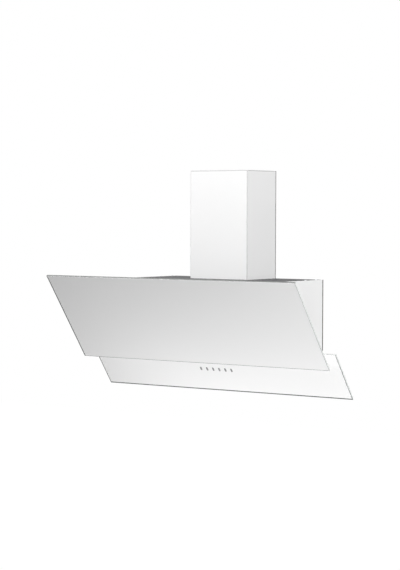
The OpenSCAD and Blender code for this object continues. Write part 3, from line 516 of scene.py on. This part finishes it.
# Hinge screws
# Two of the same screws, with short shanks, fix each hinge bracket to the frame and each hinge arm to the
# tray behind the glass.
HINGE_SHANK = 0.4         # of the full shank
PLATE = 0.002
SCREW_SHARES = (0.15, 0.85)    # of the plate's height
TURN_UP = 1.3             # radians of a recess's turn, over the plate's height and over a metre across
TURN_OVER = 7.0
for name, body, facing in (("hinge_bracket_", "hood_body", 1), ("hinge_arm_", "swing_glass", -1)):
    places = []
    for side in ("left", "right"):
        low, high = slope_range(name + side)
        plate_face = high[1] - PLATE if facing > 0 else low[1] + PLATE
        for share in SCREW_SHARES:
            seat = (0.5 * (low[0] + high[0]), plate_face, low[2] + share * (high[2] - low[2]))
            places.append((seat, Matrix.Rotation(facing * math.pi / 2, 4, "X") @
                           Matrix.Rotation(TURN_UP * share + TURN_OVER * seat[0], 4, "Z")))
    on_slope(screw_set(name + "screws", body, places, HINGE_SHANK).data)
bpy.data.objects.remove(body_screw)


# Adhesive bead
# The tray behind the upper pane is bonded on with white silicone, smoothed to a fillet along its four
# sides.
BEAD_LEG = 0.0025
WELD = 0.00002
low, high = slope_range("glass_carrier")
tray_x, tray_v = high[0] - low[0], high[2] - low[2]
wide_x, wide_v = tray_x + 2 * BEAD_LEG, tray_v + 2 * BEAD_LEG
middle = Vector((0.5 * (low[0] + high[0]), low[1] + 0.5 * BEAD_LEG, 0.5 * (low[2] + high[2])))
bpy.ops.mesh.primitive_cube_add(size=1.0, location=middle)
bead = bpy.context.object
bead.name = "adhesive_bead"
bead.scale = (wide_x, BEAD_LEG, wide_v)
settle(bead)
pick_faces(bead, lambda centre, normal: normal.y > FACING)
bpy.ops.transform.resize(value=(tray_x / wide_x, 1.0, tray_v / wide_v), center_override=middle)
bpy.ops.mesh.extrude_region_move(TRANSFORM_OT_translate={"value": (0.0, -BEAD_LEG, 0.0)})
bpy.ops.mesh.delete(type="ONLY_FACE")
bpy.ops.object.mode_set(mode="OBJECT")
pick_faces(bead, lambda centre, normal: normal.y < -FACING)
bpy.ops.mesh.inset(thickness=BEAD_LEG)
bpy.ops.mesh.delete(type="ONLY_FACE")
bpy.ops.mesh.select_all(action="SELECT")
bpy.ops.mesh.remove_doubles(threshold=WELD)
bpy.ops.mesh.normals_make_consistent(inside=False)
bpy.ops.object.mode_set(mode="OBJECT")
on_slope(bead.data)
silicone = textured("silicone", (0.74, 0.74, 0.73, 1.0), 0.38, scale=90.0, height=0.0002,
                    tones=((0.70, 0.70, 0.69, 1.0), (0.78, 0.78, 0.77, 1.0)))[0]
bead.data.materials.append(silicone)
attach(bead, "swing_glass")


# Bright steel: hinge pins, strike plates, shafts and screws
# Turned or stamped steel with a thin bright plating.
steel = textured("bright_steel", (0.66, 0.66, 0.66, 1.0), 0.28, scale=1500.0, metallic=1.0,
                 gloss=(0.2, 0.36))[0]
dress(steel, "hinge_pins", "strike_plates", "fan_shaft", "flap_pin", "blower_screws")


# Moulded plastics: blower scroll, duct collar and flaps, impeller, boxes, key guide
# Injection mouldings with a fine spark-eroded texture.
SPARK_SCALE = 1800.0
SPARK_HEIGHT = 0.00006
GLOSS_SWING = 0.06


def moulding(name, colour, roughness):
    """Textured moulded plastic."""
    return textured(name, colour, roughness, SPARK_SCALE, height=SPARK_HEIGHT,
                    gloss=(roughness - GLOSS_SWING, roughness + GLOSS_SWING))[0]


dress(moulding("black_plastic", (0.045, 0.045, 0.048, 1.0), 0.5), "scroll_half_left", "scroll_half_right",
      "outlet_collar", "flap_left", "flap_right", "terminal_box", "cable_gland", "catch_magnets")
dress(moulding("grey_plastic", (0.30, 0.31, 0.32, 1.0), 0.45), "key_guide", "filter_latch_left",
      "filter_latch_right")
dress(moulding("white_plastic", (0.80, 0.80, 0.78, 1.0), 0.5), "impeller", "capacitor", "transformer")
dress(moulding("circuit_board", (0.03, 0.16, 0.07, 1.0), 0.4), "control_board", "switch_board")


# Push keys
# Six moulded caps, lacquered silver grey, that stand a little proud of slots in the lower pane. The
# mould leaves a small round on every edge.
KEY_ROUND = 0.0004
KEY_WELD = 0.000005
FLAT_ANGLE = math.radians(1.0)
KEY_SMOOTH_ANGLE = math.radians(35.0)
key_finish = textured("key_lacquer", (0.24, 0.24, 0.245, 1.0), 0.35, scale=4000.0,
                      tones=((0.22, 0.22, 0.225, 1.0), (0.27, 0.27, 0.275, 1.0)))[0]


def rounded_copy(name, piece_name, width, finish):
    """A merged copy of a CAD node with its edges rounded, in the same place."""
    piece = bpy.data.objects.new(piece_name, node[name].data.copy())
    scene.collection.objects.link(piece)
    only(piece)
    bpy.ops.object.mode_set(mode="EDIT")
    bpy.ops.mesh.select_all(action="SELECT")
    bpy.ops.mesh.remove_doubles(threshold=KEY_WELD)
    bpy.ops.mesh.dissolve_limited(angle_limit=FLAT_ANGLE)
    bpy.ops.object.mode_set(mode="OBJECT")
    rounding = piece.modifiers.new("rounding", "BEVEL")
    rounding.width = width
    rounding.segments = 3
    rounding.limit_method = "ANGLE"
    rounding.angle_limit = SMOOTH_ANGLE
    apply_all(piece)
    bpy.ops.object.shade_smooth_by_angle(angle=KEY_SMOOTH_ANGLE)
    piece.data.materials.clear()
    piece.data.materials.append(finish)
    return piece


key_numbers = sorted(int(name[4:]) for name in node if name.startswith("key_") and name[4:].isdigit())
for number in key_numbers:
    cap = rounded_copy("key_%d" % number, "key_cap_%d" % number, KEY_ROUND, key_finish)
    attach(cap, "push_key_%d" % number)
    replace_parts(cap, "key_%d" % number)


# Lamp lenses
# Frosted plastic discs, ringed with fine ridges that spread the light of the diodes behind them.
RING_PITCH = 0.0022
RIDGE_HEIGHT = 0.0004
GLOW_DEPTH = 0.2
lens, shader, place = new_finish("frosted_lens", (0.90, 0.89, 0.86, 1.0), 0.4)
tree = lens.node_tree
lens_low, lens_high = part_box("lamp_lens_right")
from_middle = distance_in_plan(tree, split_axes(tree, place), 0.5 * (lens_low[0] + lens_high[0]),
                               0.5 * (lens_low[1] + lens_high[1]))
ridge = tree.nodes.new("ShaderNodeMapRange")
ridge.inputs["From Max"].default_value = RING_PITCH / 2
tree.links.new(calculate(tree, "PINGPONG", from_middle, RING_PITCH / 2), ridge.inputs["Value"])
raise_surface(lens, ridge.outputs["Result"], RIDGE_HEIGHT, shader)
# Painted shade and painted highlight: the colour runs darker in the grooves and lighter on the crests of
# the rings.
tint(lens, ridge.outputs["Result"], (0.86, 0.85, 0.82, 1.0), (0.92, 0.91, 0.89, 1.0), shader)
shader.inputs["Subsurface Weight"].default_value = GLOW_DEPTH
dress(lens, "lamp_lens_left", "lamp_lens_right")


# Studio
# A pale floor well below the hood, a white surround that only the camera, gloss and glass see at full
# strength, and soft lamps.
FLOOR_DROP = 3.2
FLOOR_SIZE = 40.0
FLOOR_GLOW = 1.1
GLOW_SHARE = 0.9
floor_finish, shader, _ = new_finish("floor", (0.5, 0.5, 0.5, 1.0), 0.8)
tree = floor_finish.node_tree
ray = tree.nodes.new("ShaderNodeLightPath").outputs
glow = tree.nodes.new("ShaderNodeEmission")
glow.inputs["Strength"].default_value = FLOOR_GLOW
blend = tree.nodes.new("ShaderNodeMixShader")
seen = calculate(tree, "MAXIMUM", ray["Is Camera Ray"], ray["Is Glossy Ray"])
tree.links.new(calculate(tree, "MULTIPLY", seen, GLOW_SHARE), blend.inputs["Fac"])
tree.links.new(shader.outputs["BSDF"], blend.inputs[1])
tree.links.new(glow.outputs["Emission"], blend.inputs[2])
tree.links.new(blend.outputs["Shader"], tree.nodes["Material Output"].inputs["Surface"])
bpy.ops.mesh.primitive_plane_add(size=FLOOR_SIZE, location=(0.0, 0.0, -FLOOR_DROP))
floor = bpy.context.object
floor.name = "floor"
floor.data.materials.append(floor_finish)

AMBIENT = 0.23
world = bpy.data.worlds.new("studio")
scene.world = world
world.use_nodes = True
tree = world.node_tree
ray = tree.nodes.new("ShaderNodeLightPath").outputs
seen = calculate(tree, "MAXIMUM", ray["Is Camera Ray"], ray["Is Glossy Ray"])
level = tree.nodes.new("ShaderNodeMapRange")
level.inputs["To Min"].default_value = AMBIENT
level.inputs["To Max"].default_value = 1.0
tree.links.new(calculate(tree, "MAXIMUM", seen, ray["Is Transmission Ray"]), level.inputs["Value"])
tree.links.new(level.outputs["Result"], tree.nodes["Background"].inputs["Strength"])
tree.nodes["Background"].inputs["Color"].default_value = (1.0, 1.0, 1.0, 1.0)

# Square softboxes: place, point faced, width in metres, watts, and whether gloss mirrors it. The high one
# and the right one stand where the photograph has them, and the others fill in the panes' ends and foot.
LAMPS = {
    "high_front": ((-0.2, -1.7, 3.0), (0.0, -0.16, 0.2), 1.2, 155.0, True),
    "right_side": ((2.8, -0.5, 0.9), (0.15, -0.1, 0.15), 1.2, 51.0, True),
    "left_side": ((-2.8, 0.1, 0.9), (-0.15, -0.1, 0.15), 1.2, 40.0, False),
    "under_glass": ((-0.15, -0.3, -0.85), (-0.1, -0.25, -0.3), 0.5, 2.4, False),
    "low_right": ((0.75, -0.55, -1.1), (0.3, -0.35, 0.0), 0.8, 8.8, False),
    "near_right": ((0.72, -0.78, 0.14), (0.1, -0.15, 0.1), 0.25, 0.45, False),
}
for name, (place, aim, width, watts, mirrored) in LAMPS.items():
    softbox = bpy.data.lights.new(name, "AREA")
    softbox.size = width
    softbox.energy = watts
    lamp = bpy.data.objects.new(name, softbox)
    scene.collection.objects.link(lamp)
    lamp.location = place
    lamp.rotation_euler = (Vector(aim) - Vector(place)).to_track_quat("-Z", "Y").to_euler()
    lamp.visible_glossy = mirrored
